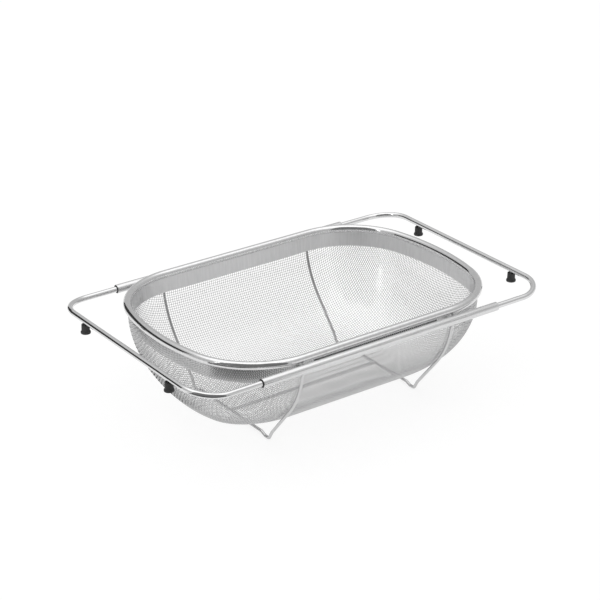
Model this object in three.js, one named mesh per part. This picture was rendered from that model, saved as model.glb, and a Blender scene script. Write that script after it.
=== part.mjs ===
// Over-the-sink mesh strainer: a woven basket in a rolled rim, carried by two side tubes,
// with a U-shaped handle rod that telescopes out of each end of the tubes.
//
// Millimetres, +Z up, standing on its wire feet on the plane z = 0.
// X runs along the basket's long side and Y across it. Front is -Y, left is -X.
import * as THREE from 'three';

// ---- driving dimensions ----
const TUBE_HEIGHT = 97; // centre line of the side tubes and of the arms in them, above the floor
const TUBE_SPACING = 241.6; // between the two side tubes, centre to centre
const TUBE_LENGTH = 267;
const TUBE_RADIUS = 4.2;
const TUBE_BORE_RADIUS = 3.6;

const ROD_RADIUS = 2.75;
const ROD_BEND_RADIUS = 30;
const END_BAR_X = 196.3; // centre line of each handle's end bar, as stored half open
const BAR_RISE = 3.3; // each end bar stands this much above its arms
const ROD_INNER_END_X = 31; // how near the middle of the tube each arm reaches

const SLIDE_CLEARANCE = 0.1; // radial, between sliding or pressed round parts
const JOINT_GAP = 0.3; // between pieces that rest on each other or are welded together

const BUSH_LENGTH = 8;
const SLEEVE_LENGTH = 14;
const SLEEVE_END_WALL = 2;

const RIM_HEIGHT = 103; // centre of the rolled bead
const RIM_HALF_LENGTH = 163.3; // to the bead's centre line, as are the next three
const RIM_HALF_WIDTH = 112.3;
const RIM_CORNER_RADIUS = 75;
const RIM_END_RADIUS = 243.4; // the short ends are slightly bowed
const BEAD_HALF_WIDTH = 4;
const BEAD_HALF_HEIGHT = 3.9;
const BEAD_WALL = 0.8;
const CORE_WIRE_RADIUS = 2.4;
const BAND_INNER_OFFSET = -2; // sideways from the bead's centre line, outwards positive
const BAND_OUTER_OFFSET = -1.2;
const BAND_BOTTOM = 85.2;
const BAND_LEAN = 0.9; // the band leans in this much by its lower edge, as the mesh does

const MESH_THICKNESS = 0.9; // two crossing wires
const MESH_TOP = 100.25;
const WALL_BOTTOM = 91; // the mesh hangs straight down to here and then curves in
const BOWL_BOTTOM = 6.7;
const BOWL_END_RUN = 66; // how far the curved wall runs in from each end
const BOWL_SIDE_RUN = 84; // and from each side
const BOWL_END_ROUNDNESS = 1.88; // exponents of the wall's section, where 2 is an ellipse
const BOWL_SIDE_ROUNDNESS = 1.76;

const LEG_WIRE_RADIUS = 1.5;
const LEG_X = 85.3;
const LEG_TOP_Y = 117;
const FOOT_LEAVES_BOWL_Y = 91; // above this the leg wire lies along the mesh
const KNEE_Y = 66.8; // where it turns down steeply to the foot
const KNEE_HEIGHT = 9.8;
const FOOT_OUTER_Y = 62; // the foot's flat lies between these two
const FOOT_INNER_Y = 56;
const FOOT_BEND_RADIUS = 3.6;
const UNDER_WIRE_HEIGHT = 3.7;
const UNDER_WIRE_HALF_LENGTH = 50;

const CAP_Y = 71.1;
const CAP_BOTTOM_DROP = 12.2; // below the rod's centre line
const CAP_BODY_RADIUS = 3.9;
const CAP_BASE_RADIUS = 4.7;
const CAP_BASE_THICKNESS = 1.8;
const STUD_RADIUS = 2;
const STUD_LENGTH = 6.4;

// ---- smoothness ----
const CORNER_STEPS = 12;
const END_STEPS = 5;
const BOWL_ROWS = 10;
const BEND_STEPS = 8;
const LEG_STEPS = 11;
const ROUND_SIDES = 16;
const WIRE_SIDES = 10;
const CORE_SIDES = 8;

// ---- colours ----
const steel = (color, roughness) => new THREE.MeshStandardMaterial({ color, roughness, metalness: 1 });
const plastic = (color, roughness) => new THREE.MeshStandardMaterial({ color, roughness, metalness: 0 });
const polishedSteel = steel(0xd4d5d6, 0.16);
const brushedSteel = steel(0xb9babb, 0.35);
const meshSteel = steel(0xc9cacb, 0.3);
const wireSteel = steel(0xa9aaab, 0.28);
const rubber = plastic(0x242424, 0.75);
const nylon = plastic(0x1c1c1d, 0.5);

const strainer = new THREE.Group();

function addPart(name, geometry, material, parent = strainer) {
  const mesh = new THREE.Mesh(geometry, material);
  mesh.name = name;
  parent.add(mesh);
  return mesh;
}

// ---- the rim's outline, which the bead, band and mesh all follow ----

// Where the straight side ends: the corner arc meets the bowed end smoothly.
const endCentreX = RIM_HALF_LENGTH - RIM_END_RADIUS;
const cornerCentreY = RIM_HALF_WIDTH - RIM_CORNER_RADIUS;
const cornerCentreX = endCentreX + Math.sqrt((RIM_END_RADIUS - RIM_CORNER_RADIUS) ** 2 - cornerCentreY ** 2);
const endHalfAngle = Math.atan2(cornerCentreY, cornerCentreX - endCentreX);

// One quarter of the outline, from the middle of a long side to the middle of an end.
function quarterOutline() {
  const stations = [{ x: 0, y: RIM_HALF_WIDTH, nx: 0, ny: 1 }];
  for (let i = 0; i <= CORNER_STEPS; i += 1) {
    const angle = THREE.MathUtils.lerp(Math.PI / 2, endHalfAngle, i / CORNER_STEPS);
    const nx = Math.cos(angle);
    const ny = Math.sin(angle);
    stations.push({ x: cornerCentreX + RIM_CORNER_RADIUS * nx, y: cornerCentreY + RIM_CORNER_RADIUS * ny, nx, ny });
  }
  for (let i = 1; i <= END_STEPS; i += 1) {
    const angle = endHalfAngle * (1 - i / END_STEPS);
    const nx = Math.cos(angle);
    const ny = Math.sin(angle);
    stations.push({ x: endCentreX + RIM_END_RADIUS * nx, y: RIM_END_RADIUS * ny, nx, ny });
  }
  return stations;
}

const mirror = (s, sx, sy) => ({ x: s.x * sx, y: s.y * sy, nx: s.nx * sx, ny: s.ny * sy });

// The whole outline, clockwise seen from above, each station once.
function fullOutline() {
  const quarter = quarterOutline();
  const backwards = [...quarter].reverse();
  return [
    ...quarter.slice(0, -1),
    ...backwards.map((s) => mirror(s, 1, -1)).slice(0, -1),
    ...quarter.map((s) => mirror(s, -1, -1)).slice(0, -1),
    ...backwards.map((s) => mirror(s, -1, 1)).slice(0, -1),
  ];
}

const outline = fullOutline();

// A closed ring or dish: each row places one point of the section at every outline station.
// The lathe only supplies the faces, and its points are then moved to the outline.
function solidAlongOutline(rows) {
  const profile = rows.map((row, i) => new THREE.Vector2(1, i));
  const geometry = new THREE.LatheGeometry(profile, outline.length);
  const position = geometry.attributes.position;
  for (let k = 0; k <= outline.length; k += 1) {
    const station = outline[k % outline.length];
    rows.forEach((row, j) => {
      const point = row(station);
      position.setXYZ(k * rows.length + j, point.x, point.y, point.z);
    });
  }
  geometry.computeVertexNormals();
  return geometry;
}

// A row at a constant distance outside the outline.
const offsetRow = (offset, z) => (s) => new THREE.Vector3(s.x + s.nx * offset, s.y + s.ny * offset, z);

// ---- rim: one strip of sheet, with its top edge rolled outwards over the core wire ----

// Points on the bead's oval, from one sideways offset over the top to another, both at its underside.
function ovalRows(halfWidth, halfHeight, fromOffset, toOffset, steps) {
  const from = -Math.PI + Math.acos(fromOffset / -halfWidth);
  const to = -Math.acos(toOffset / halfWidth);
  const sweep = to - from - 2 * Math.PI;
  const rows = [];
  for (let i = 0; i <= steps; i += 1) {
    const angle = from + (sweep * i) / steps;
    rows.push(offsetRow(halfWidth * Math.cos(angle), RIM_HEIGHT + halfHeight * Math.sin(angle)));
  }
  return rows;
}

function rimBand() {
  const lipOffset = 0.6; // the rolled edge ends here, just outside the mesh
  const outside = ovalRows(BEAD_HALF_WIDTH, BEAD_HALF_HEIGHT, BAND_INNER_OFFSET, lipOffset, 14);
  const inside = ovalRows(
    BEAD_HALF_WIDTH - BEAD_WALL,
    BEAD_HALF_HEIGHT - BEAD_WALL,
    BAND_OUTER_OFFSET,
    lipOffset,
    10,
  ).reverse();
  const bottomInside = offsetRow(BAND_INNER_OFFSET - BAND_LEAN, BAND_BOTTOM);
  const bottomOutside = offsetRow(BAND_OUTER_OFFSET - BAND_LEAN, BAND_BOTTOM);
  return solidAlongOutline([bottomInside, ...outside, ...inside, bottomOutside, bottomInside]);
}

function rimCoreWire() {
  const rows = [];
  for (let i = 0; i <= CORE_SIDES; i += 1) {
    const angle = (-2 * Math.PI * i) / CORE_SIDES;
    rows.push(offsetRow(CORE_WIRE_RADIUS * Math.cos(angle), RIM_HEIGHT + CORE_WIRE_RADIUS * Math.sin(angle)));
  }
  return solidAlongOutline(rows);
}

addPart('rim_band', rimBand(), polishedSteel);
addPart('rim_core_wire', rimCoreWire(), wireSteel);

// ---- mesh bowl: the woven basket as one thin shell, open at the top ----

// A turn of 0 is the top of the curved wall and a quarter turn is the bottom of the bowl.
const bowlHeight = (turn, inset) => WALL_BOTTOM - (WALL_BOTTOM - BOWL_BOTTOM - inset) * Math.sin(turn);

// How far in the wall has come at that turn, from 0 to 1 of its run.
function wallInward(turn, roundness) {
  const down = Math.min(Math.sin(turn), 1);
  return 1 - Math.max(1 - down ** roundness, 0) ** (1 / roundness);
}

// The share of the outline's length and width that is left at that turn, inset by the thickness.
function bowlScale(turn, inset) {
  const endRun = (BOWL_END_RUN - inset) * wallInward(turn, BOWL_END_ROUNDNESS);
  const sideRun = (BOWL_SIDE_RUN - inset) * wallInward(turn, BOWL_SIDE_ROUNDNESS);
  return {
    x: (RIM_HALF_LENGTH - inset - endRun) / RIM_HALF_LENGTH,
    y: (RIM_HALF_WIDTH - inset - sideRun) / RIM_HALF_WIDTH,
  };
}

function bowlRow(turn, inset, height = bowlHeight(turn, inset)) {
  const scale = bowlScale(turn, inset);
  return (s) => new THREE.Vector3(s.x * scale.x, s.y * scale.y, height);
}

const onAxis = (height) => () => new THREE.Vector3(0, 0, height);

function wallRows(inset) {
  const rows = [bowlRow(0, inset, MESH_TOP)];
  for (let i = 0; i <= BOWL_ROWS; i += 1) {
    rows.push(bowlRow((Math.PI / 2) * (i / BOWL_ROWS), inset));
  }
  return rows;
}

function meshBowl() {
  const inside = wallRows(MESH_THICKNESS).reverse();
  const outside = wallRows(0);
  return solidAlongOutline([
    onAxis(BOWL_BOTTOM + MESH_THICKNESS),
    ...inside,
    ...outside,
    onAxis(BOWL_BOTTOM),
  ]);
}

addPart('mesh_bowl', meshBowl(), meshSteel);

// ---- rods and wires ----

// A path through given stations, so that bends are fine and straight runs are one step.
class RoutePath extends THREE.Curve {
  constructor(points) {
    super();
    this.points = points;
  }

  at(u) {
    return Math.round(u * (this.points.length - 1));
  }

  getPoint(u) {
    return this.points[this.at(u)].clone();
  }

  getPointAt(u) {
    return this.getPoint(u);
  }

  getTangentAt(u) {
    const i = this.at(u);
    const before = this.points[Math.max(i - 1, 0)];
    const after = this.points[Math.min(i + 1, this.points.length - 1)];
    const here = this.points[i];
    const incoming = i > 0 ? here.clone().sub(before).normalize() : new THREE.Vector3();
    const outgoing = here === after ? new THREE.Vector3() : after.clone().sub(here).normalize();
    return incoming.add(outgoing).normalize();
  }

  getSpacedPoints() {
    return this.points.map((p) => p.clone());
  }
}

function roundBar(points, radius, sides) {
  const section = new THREE.Shape();
  for (let i = 0; i < sides; i += 1) {
    const angle = (2 * Math.PI * i) / sides;
    const [x, y] = [radius * Math.cos(angle), radius * Math.sin(angle)];
    if (i === 0) section.moveTo(x, y);
    else section.lineTo(x, y);
  }
  section.closePath();
  return new THREE.ExtrudeGeometry(section, {
    steps: points.length - 1,
    extrudePath: new RoutePath(points),
    bevelEnabled: false,
  });
}

// A turned part about the X axis. The profile is a closed loop of [x, radius] pairs.
function turnedAlongX(profile) {
  const loop = [...profile, profile[0]].map(([x, radius]) => new THREE.Vector2(radius, x));
  return new THREE.LatheGeometry(loop, ROUND_SIDES).rotateZ(-Math.PI / 2);
}

// ---- side tubes, welded beside the rim's long sides ----

const halfTube = TUBE_LENGTH / 2;

function sideTube() {
  return turnedAlongX([
    [-halfTube, TUBE_RADIUS - 0.2],
    [-halfTube + 0.3, TUBE_RADIUS],
    [halfTube - 0.3, TUBE_RADIUS],
    [halfTube, TUBE_RADIUS - 0.2],
    [halfTube, TUBE_BORE_RADIUS],
    [-halfTube, TUBE_BORE_RADIUS],
  ]);
}

// A bush pressed into each tube mouth guides the rod and stops the sleeve on its inner end.
function tubeBush() {
  const inner = ROD_RADIUS + SLIDE_CLEARANCE;
  const outer = TUBE_BORE_RADIUS - SLIDE_CLEARANCE;
  return turnedAlongX([
    [halfTube - BUSH_LENGTH, outer],
    [halfTube - 0.2, outer],
    [halfTube - 0.2, inner],
    [halfTube - BUSH_LENGTH, inner],
  ]);
}

const sides = { front: -1, back: 1 };
const ends = { left: -1, right: 1 };

for (const [side, sideSign] of Object.entries(sides)) {
  const tube = addPart(`${side}_side_tube`, sideTube(), polishedSteel);
  tube.position.set(0, (sideSign * TUBE_SPACING) / 2, TUBE_HEIGHT);
  for (const [end, endSign] of Object.entries(ends)) {
    const bush = addPart(`${end}_${side}_tube_bush`, tubeBush(), nylon);
    bush.position.copy(tube.position);
    bush.rotation.z = endSign > 0 ? 0 : Math.PI;
  }
}

// ---- handles: a U-shaped rod with a sleeve on each inner end and two capped feet ----

function handlePath(endSign) {
  const armY = TUBE_SPACING / 2;
  const bendX = END_BAR_X - ROD_BEND_RADIUS;
  const bendY = armY - ROD_BEND_RADIUS;
  const points = [new THREE.Vector3(ROD_INNER_END_X, armY, 0)];
  for (let i = 0; i <= BEND_STEPS; i += 1) {
    const share = i / BEND_STEPS;
    const angle = (Math.PI / 2) * (1 - share);
    points.push(
      new THREE.Vector3(
        bendX + ROD_BEND_RADIUS * Math.cos(angle),
        bendY + ROD_BEND_RADIUS * Math.sin(angle),
        BAR_RISE * share * share * (3 - 2 * share),
      ),
    );
  }
  const otherHalf = [...points].reverse().map((p) => new THREE.Vector3(p.x, -p.y, p.z));
  return [...points, ...otherHalf].map((p) => p.setX(p.x * endSign));
}

// A cup pushed over the rod's end: it slides in the tube and takes up the play.
function rodSleeve() {
  const bore = ROD_RADIUS + SLIDE_CLEARANCE;
  const outer = TUBE_BORE_RADIUS - SLIDE_CLEARANCE;
  const closedEnd = ROD_INNER_END_X - JOINT_GAP - SLEEVE_END_WALL;
  const profile = [
    [closedEnd, 0],
    [closedEnd, outer - 0.4],
    [closedEnd + 0.6, outer],
    [closedEnd + SLEEVE_LENGTH, outer],
    [closedEnd + SLEEVE_LENGTH, bore],
    [ROD_INNER_END_X - JOINT_GAP, bore],
    [ROD_INNER_END_X - JOINT_GAP, 0],
  ];
  const points = profile.map(([x, radius]) => new THREE.Vector2(radius, x));
  return new THREE.LatheGeometry(points, ROUND_SIDES).rotateZ(-Math.PI / 2);
}

const studTop = -ROD_RADIUS - JOINT_GAP;
const studBottom = studTop - STUD_LENGTH;

function footStud() {
  const stud = new THREE.CylinderGeometry(STUD_RADIUS, STUD_RADIUS, STUD_LENGTH, ROUND_SIDES);
  return stud.rotateX(Math.PI / 2).translate(0, 0, (studTop + studBottom) / 2);
}

// A rubber cup on the stud, with a flared base and a flat bottom.
function footCap() {
  const top = studTop - JOINT_GAP;
  const bottom = -CAP_BOTTOM_DROP;
  const bore = STUD_RADIUS + JOINT_GAP;
  const profile = [
    [0, bottom],
    [CAP_BASE_RADIUS - 0.4, bottom],
    [CAP_BASE_RADIUS, bottom + 0.4],
    [CAP_BASE_RADIUS, bottom + CAP_BASE_THICKNESS - 0.5],
    [CAP_BODY_RADIUS, bottom + CAP_BASE_THICKNESS],
    [CAP_BODY_RADIUS, top - 0.6],
    [CAP_BODY_RADIUS - 0.5, top],
    [bore, top],
    [bore, studBottom - JOINT_GAP],
    [0, studBottom - JOINT_GAP],
  ];
  const points = profile.map(([radius, z]) => new THREE.Vector2(radius, z));
  return new THREE.LatheGeometry(points, ROUND_SIDES).rotateX(Math.PI / 2);
}

for (const [end, endSign] of Object.entries(ends)) {
  const handle = new THREE.Group();
  handle.position.z = TUBE_HEIGHT;
  strainer.add(handle);
  addPart(`${end}_handle_rod`, roundBar(handlePath(endSign), ROD_RADIUS, ROUND_SIDES), polishedSteel, handle);
  for (const [side, sideSign] of Object.entries(sides)) {
    const sleeve = addPart(`${end}_${side}_rod_sleeve`, rodSleeve(), nylon, handle);
    sleeve.position.y = (sideSign * TUBE_SPACING) / 2;
    sleeve.rotation.z = endSign > 0 ? 0 : Math.PI;
    const stud = addPart(`${end}_${side}_foot_stud`, footStud(), wireSteel, handle);
    const cap = addPart(`${end}_${side}_rubber_cap`, footCap(), rubber, handle);
    stud.position.set(endSign * END_BAR_X, sideSign * CAP_Y, BAR_RISE);
    cap.position.copy(stud.position);
  }
}

// ---- leg wires: each runs from one side tube down the mesh, under the bowl and up the other side ----

// The half width of the rim's outline at a distance x from the middle.
function outlineHalfWidth(x) {
  if (x <= cornerCentreX) return RIM_HALF_WIDTH;
  return cornerCentreY + Math.sqrt(RIM_CORNER_RADIUS ** 2 - (x - cornerCentreX) ** 2);
}

// The mesh's outer surface in the plane of the leg wire, as (y, z).
function bowlSection(turn) {
  const scale = bowlScale(turn, 0);
  return new THREE.Vector2(scale.y * outlineHalfWidth(LEG_X / scale.x), bowlHeight(turn, 0));
}

// Points just outside the mesh, down to where the wire leaves it for the foot.
function legAlongBowl() {
  const standOff = LEG_WIRE_RADIUS + JOINT_GAP;
  const points = [];
  for (let i = 1; i <= 2 * LEG_STEPS; i += 1) {
    const turn = (Math.PI / 2) * (i / (2 * LEG_STEPS));
    const here = bowlSection(turn);
    const along = bowlSection(turn + 0.01).sub(bowlSection(turn - 0.01)).normalize();
    const point = new THREE.Vector2(here.x - along.y * standOff, here.y + along.x * standOff);
    if (point.x < FOOT_LEAVES_BOWL_Y) break;
    points.push(point);
  }
  return points;
}

// Replaces the corner at `corner` by an arc of the given radius.
function roundedCorner(from, corner, to, radius, steps) {
  const a = from.clone().sub(corner).normalize();
  const b = to.clone().sub(corner).normalize();
  const half = Math.acos(a.dot(b)) / 2;
  const centre = corner.clone().add(a.clone().add(b).normalize().multiplyScalar(radius / Math.sin(half)));
  const start = corner.clone().add(a.multiplyScalar(radius / Math.tan(half))).sub(centre);
  const end = corner.clone().add(b.multiplyScalar(radius / Math.tan(half))).sub(centre);
  const turn = Math.atan2(start.cross(end), start.dot(end));
  const points = [];
  for (let i = 0; i <= steps; i += 1) {
    points.push(start.clone().rotateAround(new THREE.Vector2(), (turn * i) / steps).add(centre));
  }
  return points;
}

function legPath() {
  const top = new THREE.Vector2(LEG_TOP_Y, TUBE_HEIGHT - TUBE_RADIUS - JOINT_GAP);
  const alongBowl = legAlongBowl();
  const last = alongBowl[alongBowl.length - 1];
  const knee = new THREE.Vector2(KNEE_Y, KNEE_HEIGHT);
  const outer = new THREE.Vector2(FOOT_OUTER_Y, LEG_WIRE_RADIUS);
  const inner = new THREE.Vector2(FOOT_INNER_Y, LEG_WIRE_RADIUS);
  const underEnd = new THREE.Vector2(UNDER_WIRE_HALF_LENGTH, UNDER_WIRE_HEIGHT);
  const middle = new THREE.Vector2(0, UNDER_WIRE_HEIGHT);
  const half = [
    top,
    ...alongBowl,
    ...roundedCorner(last, knee, outer, FOOT_BEND_RADIUS, 3),
    ...roundedCorner(knee, outer, inner, FOOT_BEND_RADIUS, BEND_STEPS),
    ...roundedCorner(outer, inner, underEnd, FOOT_BEND_RADIUS, 3),
    ...roundedCorner(inner, underEnd, middle, FOOT_BEND_RADIUS, 2),
  ];
  const otherHalf = [...half].reverse().map((p) => new THREE.Vector2(-p.x, p.y));
  return [...half, ...otherHalf];
}

for (const [end, endSign] of Object.entries(ends)) {
  const points = legPath().map((p) => new THREE.Vector3(endSign * LEG_X, p.x, p.y));
  addPart(`${end}_leg_wire`, roundBar(points, LEG_WIRE_RADIUS, WIRE_SIDES), wireSteel);
}

const tieEndX = LEG_X - LEG_WIRE_RADIUS - JOINT_GAP;
const tiePoints = [-tieEndX, tieEndX].map((x) => new THREE.Vector3(x, 0, UNDER_WIRE_HEIGHT));
addPart('base_tie_wire', roundBar(tiePoints, LEG_WIRE_RADIUS, WIRE_SIDES), wireSteel);

export default strainer;
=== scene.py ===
import math

import bmesh
import bpy
import numpy as np
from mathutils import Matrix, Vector
from mathutils.bvhtree import BVHTree


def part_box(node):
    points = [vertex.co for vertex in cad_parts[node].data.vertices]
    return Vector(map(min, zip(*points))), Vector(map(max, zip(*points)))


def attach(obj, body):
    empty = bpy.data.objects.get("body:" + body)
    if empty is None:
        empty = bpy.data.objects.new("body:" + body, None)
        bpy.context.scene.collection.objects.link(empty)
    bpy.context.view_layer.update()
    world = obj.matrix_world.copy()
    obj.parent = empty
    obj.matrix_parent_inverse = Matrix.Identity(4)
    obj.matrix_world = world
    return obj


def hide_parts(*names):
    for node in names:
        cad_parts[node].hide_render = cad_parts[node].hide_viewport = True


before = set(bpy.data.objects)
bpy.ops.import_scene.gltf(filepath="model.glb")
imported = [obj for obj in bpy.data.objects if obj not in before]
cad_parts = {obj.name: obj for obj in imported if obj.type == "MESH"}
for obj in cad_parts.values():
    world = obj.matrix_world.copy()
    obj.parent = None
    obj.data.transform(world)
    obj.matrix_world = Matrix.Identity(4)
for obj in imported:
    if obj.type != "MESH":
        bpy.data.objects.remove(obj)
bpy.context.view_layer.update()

# Over-the-sink mesh strainer. Metres, +Z up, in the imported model's frame: X along the basket's
# long side, front is -Y, left is -X.

# ---- driving dimensions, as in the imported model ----
MM = 0.001

BEAD_HALF_WIDTH = 4 * MM
BEAD_HALF_HEIGHT = 3.9 * MM
SHEET = 0.8 * MM
CORNER_RADIUS = 75 * MM
END_RADIUS = 243.4 * MM  # the short ends are slightly bowed
BAND_INNER_OFFSET = -2 * MM  # sideways from the bead's centre line, outwards positive
BAND_LEAN = 0.9 * MM
LIP_OFFSET = 0.6 * MM

MESH_THICKNESS = 0.9 * MM
MESH_TOP = 100.25 * MM
WALL_BOTTOM = 91 * MM
BOWL_END_RUN = 66 * MM
BOWL_SIDE_RUN = 84 * MM
BOWL_END_ROUNDNESS = 1.88
BOWL_SIDE_ROUNDNESS = 1.76

PITCH = 2.3 * MM  # of the woven wires
WIRE_RADIUS = 0.20 * MM

LEG_WIRE_RADIUS = 1.5 * MM
WELD_GAP = 0.3 * MM
LEG_POINTS = 46  # on the bowl's quarter turn
LEG_FIRST_POINT = 2  # below the bend at the tube
LEG_TANGENT_STEP = 0.01
LEG_TOP_Y = 117 * MM
FOOT_LEAVES_BOWL_Y = 91 * MM
KNEE_Y = 66.8 * MM
KNEE_HEIGHT = 9.8 * MM
FOOT_OUTER_Y = 62 * MM  # the foot's flat lies between these two
FOOT_INNER_Y = 56 * MM
FOOT_BEND_RADIUS = 3.6 * MM
UNDER_WIRE_HEIGHT = 3.7 * MM
UNDER_WIRE_HALF_LENGTH = 50 * MM
WIRE_SIDES = 24
TIE_WIRE_POINTS = 9

ROD_RADIUS = 2.75 * MM
ROD_BEND_RADIUS = 30 * MM
ROD_SIDES = 40
BEND_POINTS = 25
BAR_RISE = 3.3 * MM  # each end bar stands this much above its arms
TUBE_WALL = 0.6 * MM
# The tube's rounded rim as (back from the mouth, in from the surface)
MOUTH_ROUNDING = ((0.35 * MM, 0), (0.1 * MM, 0.04 * MM), (0, 0.12 * MM))
MOUTH_EDGE = 0.15 * MM  # the tube's wall at its very end
FLARE = 0.8 * MM
BUSH_PLAY = 0.1 * MM

CAP_SKIRT = 0.8 * MM  # the base is this much wider than the body
CAP_BASE_THICKNESS = 1.8 * MM
CAP_SHOULDER = 0.4 * MM
CAP_TAPER = 0.15 * MM
CAP_EDGE_RADIUS = 0.35 * MM
CAP_SIDES = 48
STUD_HOLE_MOUTH = 2.4 * MM
STUD_HOLE_RADIUS = 2.3 * MM
STUD_HOLE_DEPTH = 6 * MM

RIM_WELD_Y = 116.5 * MM
RIM_WELD_HEIGHT = 100.1 * MM
RIM_WELD_RADIUS = 1.8 * MM
LEG_WELD_RADIUS = 1.9 * MM
TIE_WELD_INSET = 1.6 * MM
WELD_LUMPS = 0.08
WELD_STRETCH = 1.25

ENDS = {"left": -1, "right": 1}
SIDES = {"front": -1, "back": 1}


# ---- positions from the frame ----
def centre_and_half(node):
    low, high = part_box(node)
    return (low + high) / 2, (high - low) / 2


rim_centre, rim_half = centre_and_half("rim_band")
RIM_HALF_LENGTH = rim_half.x - BEAD_HALF_WIDTH
RIM_HALF_WIDTH = rim_half.y - BEAD_HALF_WIDTH
RIM_HEIGHT = rim_centre.z + rim_half.z - BEAD_HALF_HEIGHT
BAND_BOTTOM = rim_centre.z - rim_half.z
BOWL_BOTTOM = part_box("mesh_bowl")[0].z
LEG_X = centre_and_half("right_leg_wire")[0].x
tube_centre, tube_half = centre_and_half("back_side_tube")
TUBE_Y = tube_centre.y
TUBE_HEIGHT = tube_centre.z
TUBE_RADIUS = tube_half.z
TUBE_HALF_LENGTH = tube_half.x
END_BAR_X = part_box("right_handle_rod")[1].x - ROD_RADIUS
ROD_INNER_END_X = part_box("right_handle_rod")[0].x


# ---- camera ----
CAMERA_AZIMUTH = math.radians(-36.07)
CAMERA_ELEVATION = math.radians(24.74)
CAMERA_DISTANCE = 1.8269
CAMERA_TARGET_HEIGHT = 98 * MM
CAMERA_LENS = 116.34
CAMERA_SENSOR = 36
CAMERA_SHIFT = (-0.0075, -0.0057)


def add_camera():
    target = Vector((0, 0, CAMERA_TARGET_HEIGHT))
    outward = Vector((
        math.sin(CAMERA_AZIMUTH) * math.cos(CAMERA_ELEVATION),
        -math.cos(CAMERA_AZIMUTH) * math.cos(CAMERA_ELEVATION),
        math.sin(CAMERA_ELEVATION),
    ))
    data = bpy.data.cameras.new("camera")
    data.lens = CAMERA_LENS
    data.sensor_width = CAMERA_SENSOR
    data.shift_x, data.shift_y = CAMERA_SHIFT
    camera = bpy.data.objects.new("camera", data)
    camera.location = target + outward * CAMERA_DISTANCE
    camera.rotation_euler = outward.to_track_quat("Z", "Y").to_euler()
    bpy.context.scene.collection.objects.link(camera)
    bpy.context.scene.camera = camera


# ---- materials ----
NOISE_DETAIL = 4
NOISE_RANGE = (0.3, 0.7)  # the part of the noise's values that the looks use
RELIEF_DEPTH = 0.05 * MM
BLUE_SHARE = 1.005  # steel and rubber are very slightly blue


def new_material(name):
    material = bpy.data.materials.new(name)
    material.use_nodes = True
    return material, material.node_tree.nodes["Principled BSDF"]


def noise_node(tree, scale, stretch):
    """Noise in the object's own coordinates, stretched along an axis by a small scale there."""
    coordinates = tree.nodes.new("ShaderNodeTexCoord")
    mapping = tree.nodes.new("ShaderNodeMapping")
    mapping.inputs["Scale"].default_value = stretch
    noise = tree.nodes.new("ShaderNodeTexNoise")
    noise.inputs["Scale"].default_value = scale
    noise.inputs["Detail"].default_value = NOISE_DETAIL
    tree.links.new(coordinates.outputs["Object"], mapping.inputs["Vector"])
    tree.links.new(mapping.outputs["Vector"], noise.inputs["Vector"])
    return noise


def range_node(tree, source, low, high):
    node = tree.nodes.new("ShaderNodeMapRange")
    node.inputs["From Min"].default_value, node.inputs["From Max"].default_value = NOISE_RANGE
    node.inputs["To Min"].default_value = low
    node.inputs["To Max"].default_value = high
    tree.links.new(source, node.inputs["Value"])
    return node


def colour_node(tree, source, dark, light):
    ramp = tree.nodes.new("ShaderNodeValToRGB")
    for element, position, colour in zip(ramp.color_ramp.elements, NOISE_RANGE, (dark, light)):
        element.position = position
        element.color = (*colour, 1)
    tree.links.new(source, ramp.inputs["Fac"])
    return ramp


def grey(value):
    return (value, value, value * BLUE_SHARE)


def surface_material(name, metallic, colours, roughness, scale, stretch, bump):
    """A surface whose colour, roughness and relief all follow one noise."""
    material, shader = new_material(name)
    tree = material.node_tree
    shader.inputs["Metallic"].default_value = metallic
    noise = noise_node(tree, scale, stretch)
    colour = colour_node(tree, noise.outputs["Fac"], *(grey(value) for value in colours))
    tree.links.new(colour.outputs["Color"], shader.inputs["Base Color"])
    rough = range_node(tree, noise.outputs["Fac"], *roughness)
    tree.links.new(rough.outputs["Result"], shader.inputs["Roughness"])
    relief = tree.nodes.new("ShaderNodeBump")
    relief.inputs["Strength"].default_value = bump
    relief.inputs["Distance"].default_value = RELIEF_DEPTH
    tree.links.new(noise.outputs["Fac"], relief.inputs["Height"])
    tree.links.new(relief.outputs["Normal"], shader.inputs["Normal"])
    return material


EVEN = (1, 1, 1)
ALONG_X = (0.02, 1, 1)
ALONG_Z = (1, 1, 0.1)

# name, metallic, darkest and lightest grey, lowest and highest roughness, noise scale and stretch, relief
polished_steel = surface_material("polished_steel", 1, (0.74, 0.82), (0.04, 0.08), 600, EVEN, 0.05)
rim_steel = surface_material("rim_steel", 1, (0.72, 0.80), (0.06, 0.11), 500, ALONG_Z, 0.05)
tube_steel = surface_material("tube_steel", 1, (0.70, 0.80), (0.20, 0.32), 2500, ALONG_X, 0.12)
mesh_steel = surface_material("mesh_steel", 1, (0.54, 0.68), (0.12, 0.2), 900, EVEN, 0)
band_steel = surface_material("band_steel", 1, (0.70, 0.78), (0.28, 0.38), 500, ALONG_Z, 0.05)
# The next material is not a finish of the steel: its near-black colour is painted shade for the band's
# outside in the gap behind each side tube
painted_shade_steel = surface_material("painted_shade_steel", 1, (0.006, 0.02), (0.4, 0.6), 500, EVEN, 0.05)
wire_steel = surface_material("wire_steel", 1, (0.60, 0.72), (0.12, 0.2), 900, EVEN, 0.1)
weld_steel = surface_material("weld_steel", 1, (0.42, 0.66), (0.22, 0.45), 1500, EVEN, 0.4)
black_rubber = surface_material("black_rubber", 0, (0.018, 0.034), (0.55, 0.75), 1800, EVEN, 0.3)
dark_nylon = surface_material("dark_nylon", 0, (0.004, 0.008), (0.5, 0.65), 900, EVEN, 0.1)


# ---- meshes from rings of points ----
MERGE_DISTANCE = 1e-7
SHARP_ANGLE = math.radians(50)
TURNED_SIDES = 64


def smooth(mesh):
    mesh.polygons.foreach_set("use_smooth", [True] * len(mesh.polygons))


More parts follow.
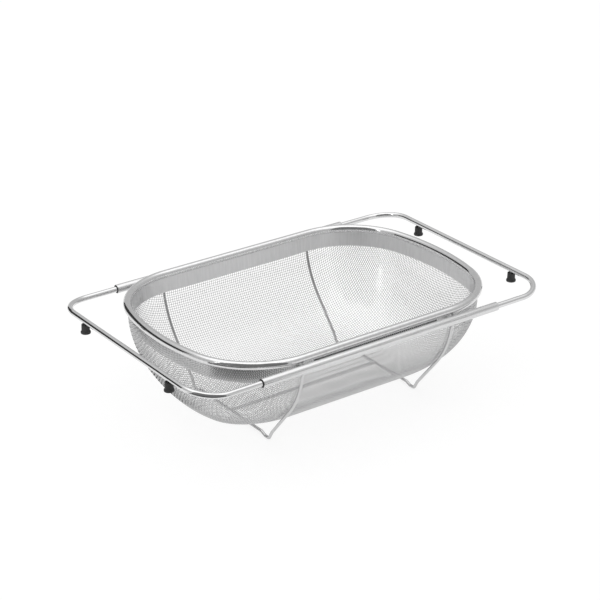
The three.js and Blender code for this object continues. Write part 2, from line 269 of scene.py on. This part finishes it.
class Shell:
    """Points and faces collected from several sweeps, for one object."""

    def __init__(self):
        self.points = []
        self.faces = []
        self.count = 0

    def add(self, points, faces):
        self.points.append(points)
        self.faces.extend((np.asarray(face) + self.count).tolist() for face in faces)
        self.count += len(points)

    def add_rings(self, rings, closed_path=False, closed_ring=True, caps=True):
        """Rings is an array (along the path, around the ring, xyz)."""
        count, size = rings.shape[:2]
        ring = np.arange(count if closed_path else count - 1)[:, None]
        point = np.arange(size if closed_ring else size - 1)[None, :]
        here, there = ring * size, (ring + 1) % count * size
        beside = (point + 1) % size
        quads = np.stack([here + point, there + point, there + beside, here + beside], axis=-1)
        faces = list(quads.reshape(-1, 4))
        if caps and not closed_path and closed_ring:
            faces.append(np.arange(size))
            faces.append(np.arange(size)[::-1] + (count - 1) * size)
        self.add(rings.reshape(-1, 3), faces)

    def build(self, name, material, merge=False):
        mesh = bpy.data.meshes.new(name)
        mesh.from_pydata(np.concatenate(self.points).tolist(), [], self.faces)
        if merge:
            work = bmesh.new()
            work.from_mesh(mesh)
            bmesh.ops.remove_doubles(work, verts=work.verts, dist=MERGE_DISTANCE)
            bmesh.ops.recalc_face_normals(work, faces=work.faces)
            work.to_mesh(mesh)
            work.free()
        smooth(mesh)
        mesh.set_sharp_from_angle(angle=SHARP_ANGLE)
        mesh.materials.append(material)
        obj = bpy.data.objects.new(name, mesh)
        bpy.context.scene.collection.objects.link(obj)
        return obj


def place(obj, body, slot, *replaced):
    if replaced:
        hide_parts(*replaced)
    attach(obj, body)
    return obj


def unit(vectors):
    return vectors / np.linalg.norm(vectors, axis=-1, keepdims=True)


def swept_rings(path, up, radius, sides):
    """Round rings along a path. Up is one direction, or one for each point."""
    tangent = unit(np.gradient(path, axis=0))
    across = unit(np.cross(tangent, np.broadcast_to(up, path.shape)))
    upright = np.cross(across, tangent)
    angle = np.linspace(0, 2 * math.pi, sides, endpoint=False)[None, :, None]
    circle = np.cos(angle) * across[:, None] + np.sin(angle) * upright[:, None]
    return path[:, None] + radius * circle


def turned_rings(profile, centre, axis, sides=TURNED_SIDES):
    """Rings of a part turned about X or Z. Profile is (distance along the axis, radius)."""
    angle = np.linspace(0, 2 * math.pi, sides, endpoint=False)
    rings = np.zeros((len(profile), sides, 3))
    along, radius = np.array(profile).T
    first, second = {"x": (1, 2), "z": (0, 1)}[axis]
    rings[..., {"x": 0, "z": 2}[axis]] = along[:, None]
    rings[..., first] = radius[:, None] * np.cos(angle)
    rings[..., second] = radius[:, None] * np.sin(angle)
    return rings + np.array(centre)


def rounded_corner(before, corner, after, radius, steps):
    """Points of the arc that replaces a corner of a path in a plane."""
    to_before, to_after = unit(before - corner), unit(after - corner)
    half = math.acos(np.clip(to_before @ to_after, -1, 1)) / 2
    centre = corner + unit(to_before + to_after) * radius / math.sin(half)
    start = corner + to_before * radius / math.tan(half) - centre
    end = corner + to_after * radius / math.tan(half) - centre
    turn = math.atan2(start[0] * end[1] - start[1] * end[0], start @ end)
    angles = turn * np.linspace(0, 1, steps)[:, None]
    across = np.array([-start[1], start[0]])
    return centre + np.cos(angles) * start + np.sin(angles) * across


def rounded_profile(points, radius, steps=5):
    """An open profile with every inner corner rounded."""
    points = [np.array(point, float) for point in points]
    result = [points[0]]
    for before, corner, after in zip(points, points[1:], points[2:]):
        result.extend(rounded_corner(before, corner, after, radius, steps))
    return np.array([*result, points[-1]])


# ---- the rim's outline ----
END_CENTRE_X = RIM_HALF_LENGTH - END_RADIUS
CORNER_CENTRE_Y = RIM_HALF_WIDTH - CORNER_RADIUS
CORNER_CENTRE_X = END_CENTRE_X + math.sqrt((END_RADIUS - CORNER_RADIUS) ** 2 - CORNER_CENTRE_Y**2)
END_HALF_ANGLE = math.atan2(CORNER_CENTRE_Y, CORNER_CENTRE_X - END_CENTRE_X)
SIDE_STEPS = 12
CORNER_STEPS = 44
END_STEPS = 18
BEAD_STEPS = 40
BEAD_INNER_STEPS = 30
BAND_TOP = RIM_HEIGHT - BEAD_HALF_HEIGHT
# Painted shade on the band's outside behind each side tube reaches up to this height, and along the side
# to this X
PAINTED_SHADE_TOP = RIM_HEIGHT - 0.85 * BEAD_HALF_HEIGHT
PAINTED_SHADE_END_X = CORNER_CENTRE_X - 12 * MM


def quarter_outline():
    """Points and outward normals from the middle of the back side to the middle of the right end."""
    side_x = np.linspace(0, CORNER_CENTRE_X, SIDE_STEPS, endpoint=False)
    side = np.stack([side_x, np.full(SIDE_STEPS, RIM_HALF_WIDTH)], axis=1)
    corner_angle = np.linspace(math.pi / 2, END_HALF_ANGLE, CORNER_STEPS, endpoint=False)
    end_angle = np.linspace(END_HALF_ANGLE, 0, END_STEPS)
    corner_normal = np.stack([np.cos(corner_angle), np.sin(corner_angle)], axis=1)
    end_normal = np.stack([np.cos(end_angle), np.sin(end_angle)], axis=1)
    corner = np.array([CORNER_CENTRE_X, CORNER_CENTRE_Y]) + CORNER_RADIUS * corner_normal
    end = np.array([END_CENTRE_X, 0]) + END_RADIUS * end_normal
    side_normal = np.tile([0.0, 1.0], (SIDE_STEPS, 1))
    return np.concatenate([side, corner, end]), np.concatenate([side_normal, corner_normal, end_normal])


def full_outline():
    points, normals = quarter_outline()
    flips = [((1, 1), 1), ((1, -1), -1), ((-1, -1), 1), ((-1, 1), -1)]
    all_points = [(points * signs)[::order][:-1] for signs, order in flips]
    all_normals = [(normals * signs)[::order][:-1] for signs, order in flips]
    return np.concatenate(all_points), np.concatenate(all_normals)


OUTLINE, OUTLINE_NORMALS = full_outline()


def along_outline(profile):
    """Rings that carry a profile of (sideways offset, height) round the outline."""
    offset, height = np.array(profile).T
    flat = OUTLINE[:, None] + OUTLINE_NORMALS[:, None] * offset[None, :, None]
    level = np.broadcast_to(height[None, :, None], (*flat.shape[:2], 1))
    return np.concatenate([flat, level], axis=2)


def bead_arc(inset, from_offset, to_offset, steps):
    """The bead's oval from its underside on the inside, over the top, to its underside outside."""
    half_width, half_height = BEAD_HALF_WIDTH - inset, BEAD_HALF_HEIGHT - inset
    start = math.pi + math.acos(-from_offset / half_width)
    end = -math.acos(to_offset / half_width)
    angle = np.linspace(start, end, steps)
    return np.stack([half_width * np.cos(angle), RIM_HEIGHT + half_height * np.sin(angle)], axis=1)


def build_rim():
    inner, outer = BAND_INNER_OFFSET, BAND_INNER_OFFSET + SHEET
    outside = bead_arc(0, inner, LIP_OFFSET, BEAD_STEPS)
    inside = bead_arc(SHEET, outer, LIP_OFFSET, BEAD_INNER_STEPS)[::-1]
    tube_bottom = TUBE_HEIGHT - TUBE_RADIUS
    lean = BAND_LEAN * (BAND_TOP - tube_bottom) / (BAND_TOP - BAND_BOTTOM)
    bottom = [
        (outer - lean, tube_bottom),
        (outer - BAND_LEAN, BAND_BOTTOM),
        (inner - BAND_LEAN, BAND_BOTTOM),
    ]
    shell = Shell()
    shell.add_rings(along_outline([*outside, *inside, *bottom]), closed_path=True)
    rim = shell.build("rolled_rim", rim_steel, merge=True)
    rim.data.materials.append(painted_shade_steel)  # painted shade: near-black on the band's outside in the narrow gap behind each side tube
    rim.data.materials.append(band_steel)  # the rest of the band is satin
    for face in rim.data.polygons:
        behind_tube = tube_bottom < face.center.z < PAINTED_SHADE_TOP
        outward = face.normal.y * math.copysign(1, face.center.y)
        on_side = abs(face.center.x) < PAINTED_SHADE_END_X and outward > 0.5
        on_band = face.center.z < BAND_TOP
        # index 1 is the painted shade behind each side tube, index 2 the satin band, index 0 the polished
        # bead
        face.material_index = 1 if behind_tube and on_side else 2 if on_band else 0
    place(rim, "basket", "polished_steel", "rim_band")


# ---- the bowl's surface ----
def wall_inward(turn, roundness):
    down = np.minimum(np.sin(turn), 1)
    return 1 - np.maximum(1 - down**roundness, 0) ** (1 / roundness)


def bowl_scale(turn, inset):
    end_run = (BOWL_END_RUN - inset) * wall_inward(turn, BOWL_END_ROUNDNESS)
    side_run = (BOWL_SIDE_RUN - inset) * wall_inward(turn, BOWL_SIDE_ROUNDNESS)
    scale_x = (RIM_HALF_LENGTH - inset - end_run) / RIM_HALF_LENGTH
    scale_y = (RIM_HALF_WIDTH - inset - side_run) / RIM_HALF_WIDTH
    return scale_x, scale_y


def bowl_height(turn, inset):
    return WALL_BOTTOM - (WALL_BOTTOM - BOWL_BOTTOM - inset) * math.sin(turn)


WALL_ROWS = 90
RUN_OVER = 24 * MM  # the wall is continued upwards this far, so that the net can run past its top


def bowl_surface(inset):
    """The bowl as a search tree, with a straight wall above it."""
    rows = [np.zeros((len(OUTLINE), 3)) + [0, 0, BOWL_BOTTOM + inset]]
    for turn in np.linspace(math.pi / 2, 0, WALL_ROWS):
        level = np.full((len(OUTLINE), 1), bowl_height(turn, inset))
        rows.append(np.hstack([OUTLINE * bowl_scale(turn, inset), level]))
    top = rows[-1].copy()
    top[:, 2] = MESH_TOP + RUN_OVER
    rows.append(top)
    shell = Shell()
    shell.add_rings(np.array(rows), caps=False)
    return BVHTree.FromPolygons(np.concatenate(shell.points).tolist(), shell.faces)


# ---- the woven mesh: a net of equal wire lengths laid over the bowl ----
NET_ROUNDS = 7
NET_TOP = MESH_TOP + 0.6 * RUN_OVER
LEAST_CROSSING = 0.02  # keeps a step finite where two wires are nearly parallel
WOVEN_WIRE_SIDES = 6


def on_surface(surface, point, symmetric_axis):
    location, normal, _, _ = surface.find_nearest(point)
    if symmetric_axis is not None:
        location[symmetric_axis] = 0
    outward = normal if normal.dot(location - Vector((0, 0, WALL_BOTTOM))) > 0 else -normal
    return location, outward


def net_point(surface, guess, neighbours, symmetric_axis=None):
    """The surface point one pitch away from each neighbour, and the outward normal there."""
    point, normal = on_surface(surface, guess, symmetric_axis)
    for _ in range(NET_ROUNDS):
        steps = []
        for neighbour in neighbours:
            away = point - neighbour
            distance = away.length
            away /= distance
            steps.append((away - normal * away.dot(normal), PITCH - distance))
        if len(steps) == 1:
            (a, short), = steps
            move = a * (short / a.length_squared)
        else:
            (a, short_a), (b, short_b) = steps
            aa, ab, bb = a.length_squared, a.dot(b), b.length_squared
            determinant = max(aa * bb - ab * ab, LEAST_CROSSING)
            move = a * ((short_a * bb - short_b * ab) / determinant)
            move += b * ((short_b * aa - short_a * ab) / determinant)
        point, normal = on_surface(surface, point + move, symmetric_axis)
    return point, normal


def quadrant_net(surface):
    """Net nodes of one quarter: {(i, j): (point, normal)}, i along X and j along Y."""
    start = Vector((0, 0, BOWL_BOTTOM + MESH_THICKNESS / 2))
    nodes = {(0, 0): (start, Vector((0, 0, -1)))}
    for axis, step in ((0, (1, 0)), (1, (0, 1))):
        here = start
        heading = Vector((PITCH, 0, 0)) if axis == 0 else Vector((0, PITCH, 0))
        index = 1
        while here.z < NET_TOP:
            found, normal = net_point(surface, here + heading, [here], 1 - axis)
            heading = found - here
            here = found
            nodes[(step[0] * index, step[1] * index)] = (found, normal)
            index += 1
    axis_length = max(i for i, j in nodes)
    for i in range(1, axis_length + 1):
        j = 1
        while (i - 1, j) in nodes and (i, j - 1) in nodes:
            left, below, corner = nodes[(i - 1, j)][0], nodes[(i, j - 1)][0], nodes[(i - 1, j - 1)][0]
            found, normal = net_point(surface, left + below - corner, [left, below])
            if found.z > NET_TOP:
                break
            nodes[(i, j)] = (found, normal)
            j += 1
    return nodes


def woven_wires(nodes, along):
    """Each wire of one direction as (index, path, normals), cut at the mesh's top edge."""
    arrays = {key: (np.array(point), np.array(normal)) for key, (point, normal) in nodes.items()}
    last = max(key[1 - along] for key in nodes)
    for line in range(-last, last + 1):
        points, normals = [], []
        step = 0
        while True:
            key = (step, abs(line)) if along == 0 else (abs(line), step)
            if key not in arrays:
                break
            point, normal = arrays[key]
            over = (1 if (step + line) % 2 else -1) * (1 if along else -1)
            raised = point + normal * WIRE_RADIUS * over
            if raised[2] > MESH_TOP:
                if points:
                    share = (MESH_TOP - points[-1][2]) / (raised[2] - points[-1][2])
                    points.append(points[-1] + (raised - points[-1]) * share)
                    normals.append(normal)
                break
            points.append(raised)
            normals.append(normal)
            step += 1
        if len(points) < 2:
            continue
        sign = np.ones(3)
        sign[1 - along] = -1 if line < 0 else 1
        mirror = np.ones(3)
        mirror[along] = -1
        points, normals = np.array(points) * sign, np.array(normals) * sign
        yield (
            line,
            np.concatenate([(points * mirror)[:0:-1], points]),
            np.concatenate([(normals * mirror)[:0:-1], normals]),
        )


def build_mesh_bowl():
    nodes = quadrant_net(bowl_surface(MESH_THICKNESS / 2))
    names = {1: ("warp_left", "warp_right"), 0: ("weft_front", "weft_back")}
    for along, halves in names.items():
        shells = (Shell(), Shell())
        for line, path, normals in woven_wires(nodes, along):
            rings = swept_rings(path, normals, WIRE_RADIUS, WOVEN_WIRE_SIDES)
            shells[line >= 0].add_rings(rings)
        for half, shell in zip(halves, shells):
            place(shell.build(f"woven_{half}", mesh_steel), "basket", "woven_mesh", "mesh_bowl")


# ---- side tubes, bushes and handles ----
def turned_piece(name, profile, centre, axis, material):
    shell = Shell()
    shell.add_rings(turned_rings(profile, centre, axis), closed_path=True, caps=False)
    return shell.build(name, material, merge=True)


def tube_profile():
    """The closed section of a side tube, with mouths opened out for the flared bushes."""
    mouth = [
        *((TUBE_HALF_LENGTH - back, TUBE_RADIUS - inward) for back, inward in MOUTH_ROUNDING),
        (TUBE_HALF_LENGTH, TUBE_RADIUS - MOUTH_EDGE),
        (TUBE_HALF_LENGTH - FLARE, TUBE_RADIUS - TUBE_WALL),
    ]
    return [*mouth, *((-x, r) for x, r in reversed(mouth))]


def bush_profile(inner_end, end_sign):
    """A bush with a black flared end that fills the tube's mouth round the rod."""
    bore = ROD_RADIUS + BUSH_PLAY
    tube_gap = 0.5 * BUSH_PLAY
    body = TUBE_RADIUS - TUBE_WALL - tube_gap
    mouth = TUBE_HALF_LENGTH - tube_gap
    section = [
        (inner_end, bore),
        (inner_end, body),
        (mouth - FLARE, body),
        (mouth, TUBE_RADIUS - MOUTH_EDGE - tube_gap),
        (mouth, bore),
    ]
    return [(end_sign * x, radius) for x, radius in section]


def build_tubes():
    for side, sign in SIDES.items():
        centre = (0, sign * TUBE_Y, TUBE_HEIGHT)
        tube = turned_piece(f"{side}_tube", tube_profile(), centre, "x", tube_steel)
        place(tube, "basket", "brushed_steel_tube", f"{side}_side_tube")
        for end, end_sign in ENDS.items():
            node = f"{end}_{side}_tube_bush"
            middle, half = centre_and_half(node)
            profile = bush_profile(abs(middle.x) - half.x, end_sign)
            bush = turned_piece(f"{end}_{side}_bush", profile, centre, "x", dark_nylon)
            place(bush, "basket", "nylon", node)


def handle_path(end_sign):
    """A rod's centre line: an arm, a bend that also rises, the end bar, and the same again."""
    bend = np.linspace(math.pi / 2, 0, BEND_POINTS)[:, None]
    centre = np.array([END_BAR_X - ROD_BEND_RADIUS, TUBE_Y - ROD_BEND_RADIUS])
    share = np.linspace(0, 1, BEND_POINTS)[:, None]
    height = TUBE_HEIGHT + BAR_RISE * share**2 * (3 - 2 * share)
    arc = np.hstack([centre + ROD_BEND_RADIUS * np.hstack([np.cos(bend), np.sin(bend)]), height])
    before_bend = END_BAR_X - 1.3 * ROD_BEND_RADIUS
    arm = [[x, TUBE_Y, TUBE_HEIGHT] for x in (ROD_INNER_END_X, before_bend)]
    half = np.vstack([arm, arc])
    return np.vstack([half, half[::-1] * [1, -1, 1]]) * [end_sign, 1, 1]


def cap_profile(half_height, base_radius):
    """A rubber foot: a flared base, a slightly tapered body and a soft top edge."""
    body_radius = base_radius - CAP_SKIRT
    base_top = CAP_BASE_THICKNESS - half_height
    outline = [
        (-half_height, 0),
        (-half_height, base_radius),
        (base_top, base_radius),
        (base_top + CAP_SHOULDER, body_radius),
        (half_height, body_radius - CAP_TAPER),
        (half_height, STUD_HOLE_MOUTH),
    ]
    hole_end = half_height - STUD_HOLE_DEPTH
    return [*rounded_profile(outline, CAP_EDGE_RADIUS), (hole_end, STUD_HOLE_RADIUS), (hole_end, 0)]


def build_handles():
    for end, sign in ENDS.items():
        body = f"{end}_handle"
        shell = Shell()
        shell.add_rings(swept_rings(handle_path(sign), (0, 0, 1), ROD_RADIUS, ROD_SIDES))
        rod = shell.build(f"{end}_rod", polished_steel)
        place(rod, body, "polished_steel", f"{end}_handle_rod")
        for side in SIDES:
            node = f"{end}_{side}_rubber_cap"
            middle, half = centre_and_half(node)
            shell = Shell()
            rings = turned_rings(cap_profile(half.z, half.x), middle, "z", CAP_SIDES)
            shell.add_rings(rings, caps=False)
            cap = shell.build(f"{end}_{side}_cap", black_rubber, merge=True)
            place(cap, body, "rubber", node)


# ---- leg wires ----
def outline_half_width(x):
    if x <= CORNER_CENTRE_X:
        return RIM_HALF_WIDTH
    return CORNER_CENTRE_Y + math.sqrt(CORNER_RADIUS**2 - (x - CORNER_CENTRE_X) ** 2)


def bowl_section(turn):
    """The mesh's outer surface in the plane of a leg wire, as (y, z)."""
    scale_x, scale_y = bowl_scale(turn, 0)
    return np.array([scale_y * outline_half_width(LEG_X / scale_x), bowl_height(turn, 0)])


def leg_along_bowl():
    stand_off = LEG_WIRE_RADIUS + WELD_GAP
    points = []
    for turn in np.linspace(0, math.pi / 2, LEG_POINTS)[LEG_FIRST_POINT:]:
        along = unit(bowl_section(turn + LEG_TANGENT_STEP) - bowl_section(turn - LEG_TANGENT_STEP))
        point = bowl_section(turn) + stand_off * np.array([-along[1], along[0]])
        if point[0] < FOOT_LEAVES_BOWL_Y:
            break
        points.append(point)
    return points


def leg_path(end_sign):
    top = np.array([LEG_TOP_Y, TUBE_HEIGHT - TUBE_RADIUS - WELD_GAP])
    along_bowl = leg_along_bowl()
    knee = np.array([KNEE_Y, KNEE_HEIGHT])
    outer = np.array([FOOT_OUTER_Y, LEG_WIRE_RADIUS])
    inner = np.array([FOOT_INNER_Y, LEG_WIRE_RADIUS])
    under_end = np.array([UNDER_WIRE_HALF_LENGTH, UNDER_WIRE_HEIGHT])
    middle = np.array([0, UNDER_WIRE_HEIGHT])
    half = np.vstack([
        top,
        *along_bowl,
        rounded_corner(along_bowl[-1], knee, outer, FOOT_BEND_RADIUS, 7),
        rounded_corner(knee, outer, inner, FOOT_BEND_RADIUS, 16),
        rounded_corner(outer, inner, under_end, FOOT_BEND_RADIUS, 6),
        rounded_corner(inner, under_end, middle, FOOT_BEND_RADIUS, 5),
    ])
    path = np.vstack([half, half[::-1] * [-1, 1]])
    return np.hstack([np.full((len(path), 1), end_sign * LEG_X), path])


def build_legs():
    for end, sign in ENDS.items():
        shell = Shell()
        shell.add_rings(swept_rings(leg_path(sign), (1, 0, 0), LEG_WIRE_RADIUS, WIRE_SIDES))
        place(shell.build(f"{end}_leg", wire_steel), "basket", "steel_wire", f"{end}_leg_wire")
    low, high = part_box("base_tie_wire")
    path = np.zeros((TIE_WIRE_POINTS, 3))
    path[:, 0] = np.linspace(low.x, high.x, TIE_WIRE_POINTS)
    path[:, 2] = (low.z + high.z) / 2
    shell = Shell()
    shell.add_rings(swept_rings(path, (0, 0, 1), LEG_WIRE_RADIUS, WIRE_SIDES))
    place(shell.build("tie_wire", wire_steel), "basket", "steel_wire", "base_tie_wire")


# ---- spot welds ----
def weld_spots():
    """Name, centre and radius of every bead."""
    for end, end_sign in ENDS.items():
        x = end_sign * LEG_X
        for side, side_sign in SIDES.items():
            below_tube = (x, side_sign * LEG_TOP_Y, TUBE_HEIGHT - TUBE_RADIUS)
            yield f"{end}_{side}_leg_weld", below_tube, LEG_WELD_RADIUS
            yield f"{end}_{side}_rim_weld", (x, side_sign * RIM_WELD_Y, RIM_WELD_HEIGHT), RIM_WELD_RADIUS
        beside_leg = (end_sign * (LEG_X - TIE_WELD_INSET), 0, UNDER_WIRE_HEIGHT)
        yield f"{end}_tie_weld", beside_leg, LEG_WELD_RADIUS


def build_welds():
    """A small lumpy bead wherever two welded pieces meet."""
    for index, (name, centre, radius) in enumerate(weld_spots()):
        mesh = bpy.data.meshes.new(name)
        work = bmesh.new()
        bmesh.ops.create_icosphere(work, subdivisions=4, radius=radius)
        for vertex in work.verts:
            direction = vertex.co.normalized()
            lump = math.sin(5 * direction.x + index) * math.sin(4 * direction.y + 2 * index)
            vertex.co *= 1 + WELD_LUMPS * lump
            vertex.co.x *= WELD_STRETCH
        work.to_mesh(mesh)
        work.free()
        smooth(mesh)
        mesh.materials.append(weld_steel)
        bead = bpy.data.objects.new(name, mesh)
        bead.location = centre
        bpy.context.scene.collection.objects.link(bead)
        place(bead, "basket", "steel_wire")


# ---- CAD nodes that stay as they are ----
def finish_cad_nodes():
    """The pieces sealed inside others keep their CAD shape and get a real finish."""
    kept = {"rim_core_wire": wire_steel}
    for end in ENDS:
        for side in SIDES:
            kept[f"{end}_{side}_rod_sleeve"] = dark_nylon
            kept[f"{end}_{side}_foot_stud"] = wire_steel
    for name, material in kept.items():
        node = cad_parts[name]
        for slot in node.material_slots:
            slot.material = material


# ---- floor and light ----
# The camera sees a white floor and backdrop. The steel reflects a greyer studio: a grey floor,
# even walls, a bright ceiling and a few dark screens.
REACH = 12
# (share of light scattered back, light of its own)
WHITE_FLOOR = (0.22, 0.8)
GREY_FLOOR = (0.5, 0.45)
GREY_FLOOR_HEIGHT = 0.2 * MM
SCREEN_FLOOR_HEIGHT = 0.4 * MM
BACKDROP_LIGHT = 0.97
BACKDROP_SIDES = 96
BACKDROP_FOOT = 1
# (name, degrees about Z from +X, lower edge and upper edge as (radius, height), brightness)
DARK_SCREENS = (
    ("front_wall", (-172, -88), (1.0, 0), (1.0, 3.0), 0.16),
    ("front_floor", (-172, -88), (0.30, SCREEN_FLOOR_HEIGHT), (1.0, SCREEN_FLOOR_HEIGHT), 0.04),
    ("back_card", (96, 156), (0.9, 0), (0.9, 0.55), 0.02),
)
SCREEN_POINTS = 24
# Light of the studio by height: (sine of the elevation moved to 0..1, brightness)
SKY = ((0.0, 0.55), (0.50, 0.56), (0.75, 0.56), (0.86, 0.75), (0.92, 1.3), (1.0, 1.45))
LAMP_PLACE = (-2.0, -0.5, 1.2)
LAMP_TARGET = (0, 0, 0.05)
LAMP_SIZE = (0.7, 1.2)
LAMP_POWER = 7


def glowing_material(name, glow, scattered=0):
    material, shader = new_material(name)
    shader.inputs["Base Color"].default_value = (scattered, scattered, scattered, 1)
    shader.inputs["Emission Color"].default_value = (1, 1, 1, 1)
    shader.inputs["Emission Strength"].default_value = glow
    return material, shader


def hide_from(obj, *rays):
    for ray in rays:
        setattr(obj, f"visible_{ray}", False)


def circle_points(angles):
    return np.stack([np.cos(angles), np.sin(angles), np.zeros(len(angles))], axis=1)


def add_floor(name, height, scattered, glow):
    shell = Shell()
    corners = REACH * np.array([[-1, -1, 0], [1, -1, 0], [1, 1, 0], [-1, 1, 0]], float) + [0, 0, height]
    shell.add(corners, [np.arange(4)])
    material, shader = glowing_material(name, glow, scattered)
    shader.inputs["Roughness"].default_value = 0.9
    shader.inputs["Specular IOR Level"].default_value = 0.1
    floor = shell.build(name, material)
    return floor


def build_stage():
    floor = add_floor("floor", 0, *WHITE_FLOOR)
    hide_from(floor, "glossy")
    reflected = add_floor("reflected_floor", GREY_FLOOR_HEIGHT, *GREY_FLOOR)
    hide_from(reflected, "camera", "diffuse", "shadow")
    ring = circle_points(np.linspace(0, 2 * math.pi, BACKDROP_SIDES, endpoint=False)) * REACH
    shell = Shell()
    shell.add_rings(np.array([ring - [0, 0, BACKDROP_FOOT], ring + [0, 0, REACH]]), caps=False)
    backdrop = shell.build("backdrop", glowing_material("backdrop", BACKDROP_LIGHT)[0])
    hide_from(backdrop, "diffuse", "glossy", "transmission", "shadow")


def build_dark_screens():
    """Dark screens round the strainer, which only the steel's reflections show."""
    for name, (first, last), lower, upper, brightness in DARK_SCREENS:
        around = circle_points(np.radians(np.linspace(first, last, SCREEN_POINTS)))
        rows = [around * radius + [0, 0, height] for radius, height in (lower, upper)]
        shell = Shell()
        shell.add_rings(np.array(rows), closed_ring=False, caps=False)
        screen = shell.build(name, glowing_material(name, brightness)[0])
        hide_from(screen, "camera", "diffuse", "transmission", "shadow")


def add_lamp():
    data = bpy.data.lights.new("left_front", "AREA")
    data.shape = "RECTANGLE"
    data.size, data.size_y = LAMP_SIZE
    data.energy = LAMP_POWER
    lamp = bpy.data.objects.new("left_front", data)
    lamp.location = LAMP_PLACE
    away = Vector(LAMP_PLACE) - Vector(LAMP_TARGET)
    lamp.rotation_euler = away.to_track_quat("Z", "Y").to_euler()
    bpy.context.scene.collection.objects.link(lamp)


def build_sky():
    """A world whose brightness depends on the height in the sky only."""
    world = bpy.data.worlds.new("studio")
    world.use_nodes = True
    tree = world.node_tree
    coordinates = tree.nodes.new("ShaderNodeTexCoord")
    split = tree.nodes.new("ShaderNodeSeparateXYZ")
    height = tree.nodes.new("ShaderNodeMapRange")
    height.inputs["From Min"].default_value = -1
    ramp = tree.nodes.new("ShaderNodeValToRGB")
    elements = ramp.color_ramp.elements
    while len(elements) < len(SKY):
        elements.new(0.5)
    for element, (position, brightness) in zip(elements, SKY):
        element.position = position
        element.color = (brightness, brightness, brightness, 1)
    tree.links.new(coordinates.outputs["Generated"], split.inputs["Vector"])
    tree.links.new(split.outputs["Z"], height.inputs["Value"])
    tree.links.new(height.outputs["Result"], ramp.inputs["Fac"])
    tree.links.new(ramp.outputs["Color"], tree.nodes["Background"].inputs["Color"])
    bpy.context.scene.world = world
    bpy.context.scene.view_settings.view_transform = "Standard"


add_camera()
build_rim()
build_mesh_bowl()
build_tubes()
build_handles()
build_legs()
build_welds()
finish_cad_nodes()
build_stage()
build_dark_screens()
add_lamp()
build_sky()
